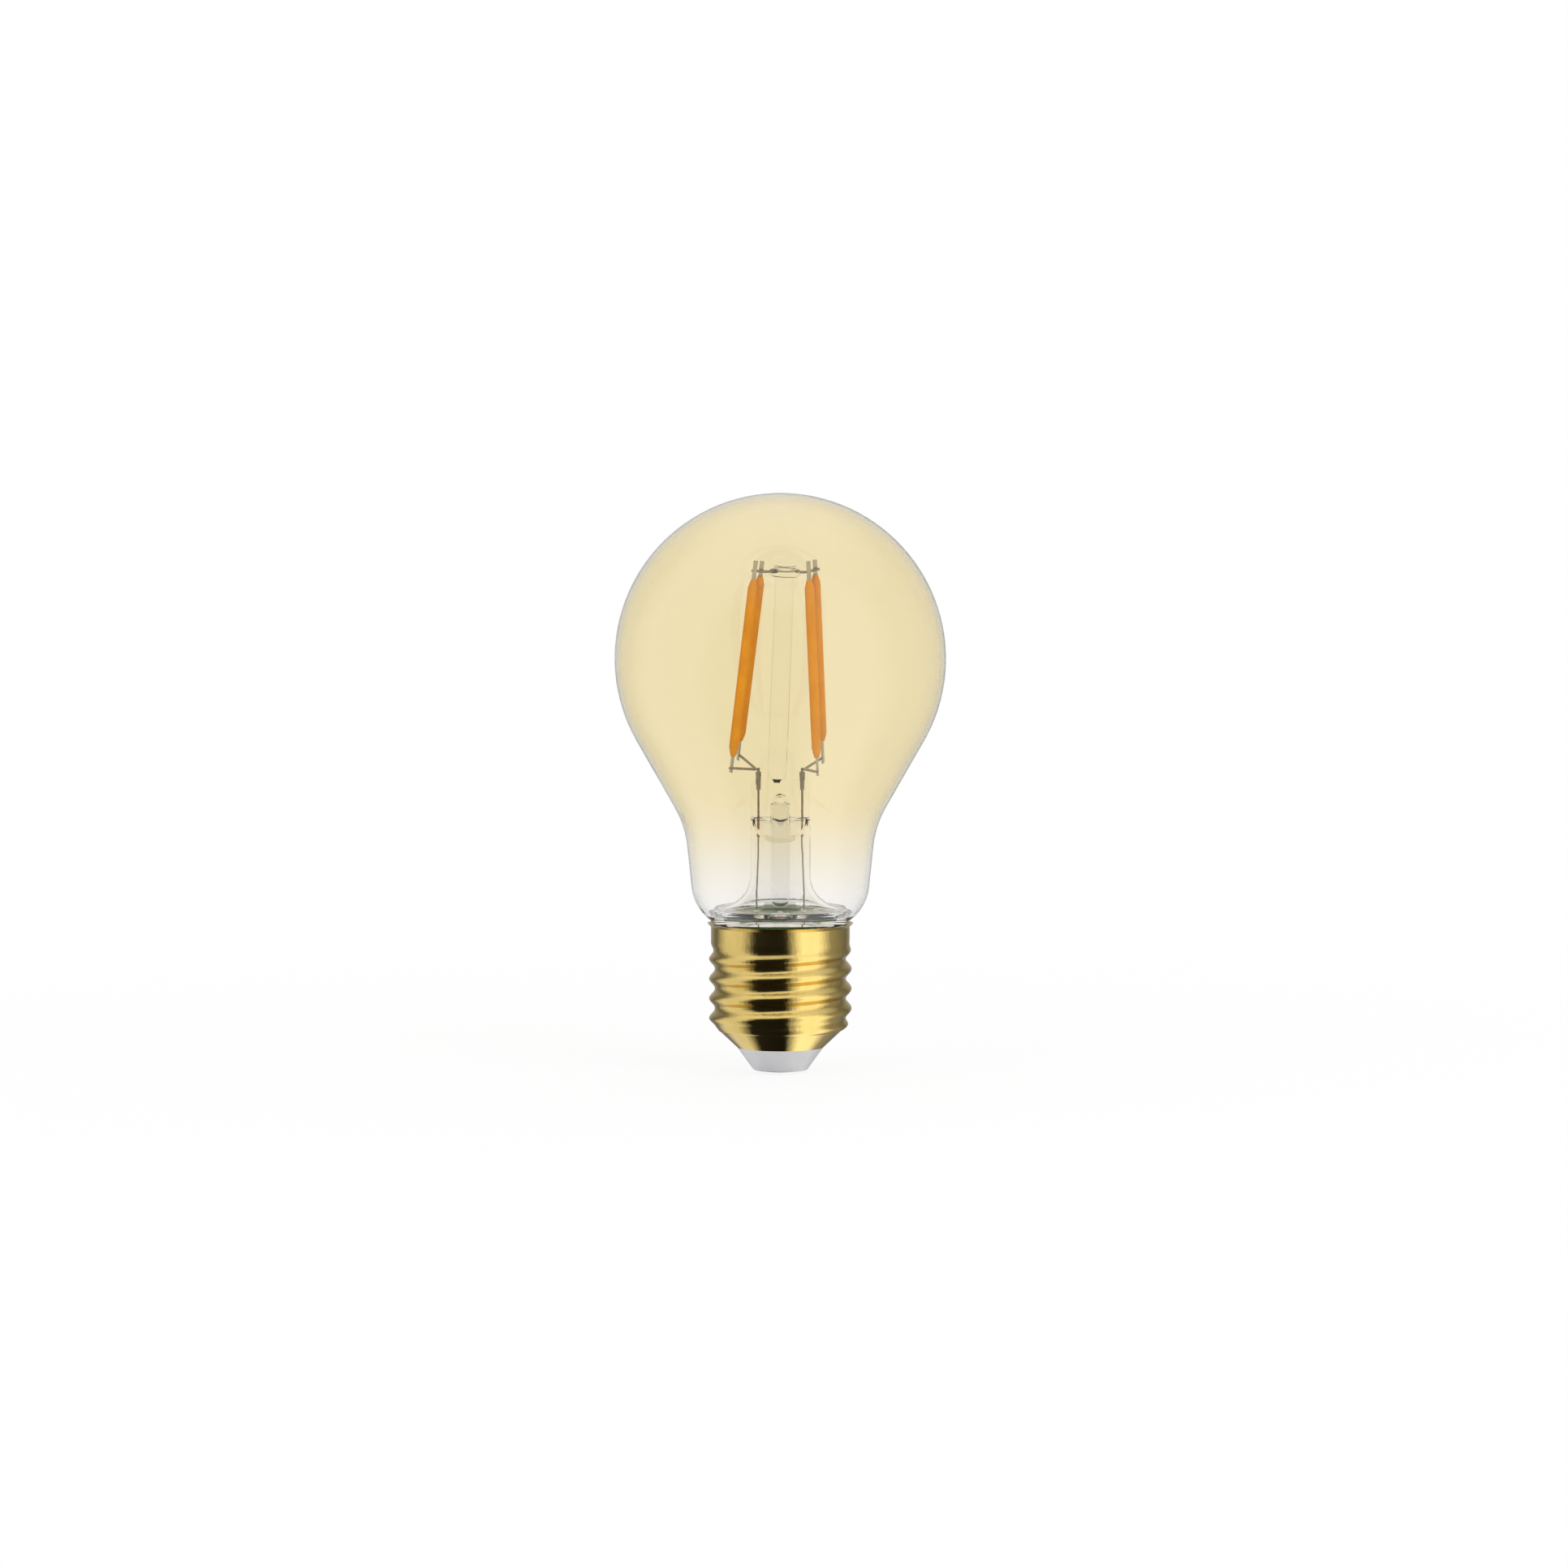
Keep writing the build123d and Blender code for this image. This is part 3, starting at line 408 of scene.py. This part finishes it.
def glass_finish(name, tint, stand_in, ior):
    finish = Finish(name)
    base = tint(finish)
    ripple = finish.speckle(RIPPLE_SIZE, RIPPLE_DETAIL)
    inputs = {
        "Base Color": base,
        "Roughness": 0.0,
        "IOR": ior,
        "Transmission Weight": 1.0,
        "Normal": finish.bump(ripple, RIPPLE_DEPTH, RIPPLE_STRENGTH),
    }
    glass = finish.node("ShaderNodeBsdfPrincipled", inputs=inputs)
    clear = finish.node("ShaderNodeBsdfTransparent", inputs={"Color": stand_in})
    FINISHES[name] = finish.surface(finish.layer(finish.ray("Shadow"), glass, clear))


glass_finish("amber_glass", amber_tint, colour(0.96, 0.93, 0.84), ENVELOPE_IOR)
glass_finish("clear_glass", clear_tint, colour(0.98, 0.98, 0.98), STEM_IOR)
print("glass:", *FINISHES)

# %% [markdown]
# ## Metals
#
# The cap is thin brass-coloured sheet, with a grain drawn out in height. The leads are dull drawn wire,
# reddish where they pass through the glass, and the driver has tinned legs, bright solder, a steel can
# and a copper winding. One recipe serves them all: a base colour with darker patches, a roughness that drifts
# from place to place, and a fine bump. What differs is the colour, the size of the grain and its direction.

# %% Metal finishes
METAL_PATCH = 6  # grains across one patch
METAL_CONTRAST, METAL_SHIFT = 1.6, 0.4  # how sharply patches part, and how common the dark ones are
PATCH_DETAIL = 4.0
METAL_GRAIN_DETAIL = 2.0
EVEN = (1, 1, 1)
METALS = {
    # slot: base, dark patches, roughness, its drift, grain and bump depth in metres, stretch of the grain
    "gold_shell": ((0.80, 0.61, 0.22), (0.66, 0.49, 0.16), 0.15, 0.10, 0.0006, 0.00004, (1, 1, 0.4)),
    "lead_wire": ((0.40, 0.37, 0.34), (0.24, 0.22, 0.20), 0.42, 0.2, 0.0004, 0.00003, EVEN),
    "seal_wire": ((0.40, 0.16, 0.10), (0.24, 0.10, 0.07), 0.45, 0.2, 0.0004, 0.00003, EVEN),
    "tinned_wire": ((0.80, 0.80, 0.80), (0.62, 0.62, 0.62), 0.28, 0.2, 0.0004, 0.00002, EVEN),
    "strip_metal": ((0.62, 0.60, 0.58), (0.42, 0.40, 0.38), 0.35, 0.2, 0.0004, 0.00002, EVEN),
    "solder": ((0.90, 0.90, 0.90), (0.70, 0.70, 0.72), 0.20, 0.2, 0.0005, 0.00006, EVEN),
    "contact_metal": ((0.56, 0.53, 0.47), (0.38, 0.35, 0.31), 0.35, 0.2, 0.0008, 0.00004, EVEN),
    "shield_steel": ((0.78, 0.78, 0.77), (0.66, 0.66, 0.66), 0.30, 0.15, 0.0005, 0.00002, EVEN),
    "copper_wire": ((0.80, 0.42, 0.22), (0.55, 0.26, 0.12), 0.30, 0.2, 0.0003, 0.00006, (1, 1, 6)),
}


def metal_finish(name, base, dark, rough, drift, grain, depth, stretch):
    finish = Finish(name)
    mottle = finish.speckle(grain * METAL_PATCH, PATCH_DETAIL, stretch)
    fine = finish.speckle(grain, METAL_GRAIN_DETAIL, stretch)
    share = (mottle * METAL_CONTRAST - METAL_SHIFT).clamped()
    inputs = {
        "Base Color": finish.blend(share, colour(*dark), colour(*base)),
        "Metallic": 1.0,
        "Roughness": rough + (mottle - NOISE_MEAN) * drift,
        "Normal": finish.bump(fine, depth),
    }
    FINISHES[name] = finish.surface(finish.node("ShaderNodeBsdfPrincipled", inputs=inputs))


for name, values in METALS.items():
    metal_finish(name, *values)
print(len(METALS), "metals")

# %% [markdown]
# ## Plastics, coatings and ceramics
#
# These scatter light instead of mirroring it. The recipe again is one function: two close colours mixed by
# noise, a roughness with drift, and a bump. The phosphor on the filaments matters most: it is a soft
# silicone, deep orange and slightly uneven in thickness. It has a low index, because white highlights
# would wash its colour out.

# %% Coloured finishes
SOLID_PATCH = 5  # grains across one patch
SOLID_CONTRAST, SOLID_SHIFT = 2.0, 0.5
SOLID_GRAIN_DETAIL = 3.0
SOLID_DRIFT = 0.2  # of roughness
PLAIN_IOR = 1.45
SOLIDS = {
    # slot: base, dark patches, roughness, grain and bump depth in metres, coat, index
    "phosphor_silicone": ((0.86, 0.37, 0.0), (0.72, 0.27, 0.0), 0.5, 0.0005, 0.00005, 0.0, 1.15),
    "insulator_plastic": ((0.72, 0.73, 0.76), (0.66, 0.67, 0.70), 0.42, 0.0006, 0.00003, 0.0, PLAIN_IOR),
    "cement": ((0.72, 0.70, 0.64), (0.58, 0.56, 0.50), 0.9, 0.0005, 0.0001, 0.0, PLAIN_IOR),
    "board_green": ((0.05, 0.12, 0.03), (0.03, 0.08, 0.02), 0.35, 0.0008, 0.00002, 0.3, PLAIN_IOR),
    "chip_black": ((0.03, 0.03, 0.03), (0.02, 0.02, 0.02), 0.55, 0.0003, 0.00003, 0.0, PLAIN_IOR),
    "antenna_ceramic": ((0.85, 0.86, 0.88), (0.75, 0.76, 0.78), 0.35, 0.0004, 0.00002, 0.0, PLAIN_IOR),
    "capacitor_sleeve": ((0.03, 0.03, 0.045), (0.02, 0.02, 0.03), 0.3, 0.001, 0.00002, 0.0, PLAIN_IOR),
    "ferrite": ((0.07, 0.07, 0.075), (0.04, 0.04, 0.045), 0.6, 0.0003, 0.00004, 0.0, PLAIN_IOR),
    "resistor_body": ((0.12, 0.28, 0.22), (0.08, 0.20, 0.16), 0.4, 0.0005, 0.00003, 0.0, PLAIN_IOR),
    "wire_insulation": ((0.50, 0.03, 0.02), (0.38, 0.02, 0.02), 0.4, 0.0006, 0.00002, 0.0, PLAIN_IOR),
    "small_part": ((0.42, 0.34, 0.26), (0.30, 0.24, 0.18), 0.4, 0.0003, 0.00002, 0.0, PLAIN_IOR),
    "led_chip": ((0.45, 0.55, 0.70), (0.35, 0.45, 0.60), 0.2, 0.0002, 0.00001, 0.0, PLAIN_IOR),
}


def solid_finish(name, base, dark, rough, grain, depth, coat, ior):
    finish = Finish(name)
    mottle = finish.speckle(grain * SOLID_PATCH, PATCH_DETAIL)
    fine = finish.speckle(grain, SOLID_GRAIN_DETAIL)
    share = (mottle * SOLID_CONTRAST - SOLID_SHIFT).clamped()
    inputs = {
        "Base Color": finish.blend(share, colour(*dark), colour(*base)),
        "Roughness": (rough + (mottle - NOISE_MEAN) * SOLID_DRIFT).clamped(),
        "Coat Weight": coat,
        "IOR": ior,
        "Normal": finish.bump(fine, depth),
    }
    FINISHES[name] = finish.surface(finish.node("ShaderNodeBsdfPrincipled", inputs=inputs))


for name, values in SOLIDS.items():
    solid_finish(name, *values)
print(len(SOLIDS), "coloured finishes")

# %% [markdown]
# ## Dress the pieces
#
# The record names a material slot for every piece, and each finish is kept under its slot's name,
# so one loop dresses them all.

# %% Give every piece its finish
SLOT_OF = {part["node"]: part["material_slot"] for part in frame["record"]["subparts"]}

for name, piece in nodes.items():
    piece.data.materials.clear()
    piece.data.materials.append(FINISHES[SLOT_OF[name]])
print("dressed", len(nodes), "pieces")
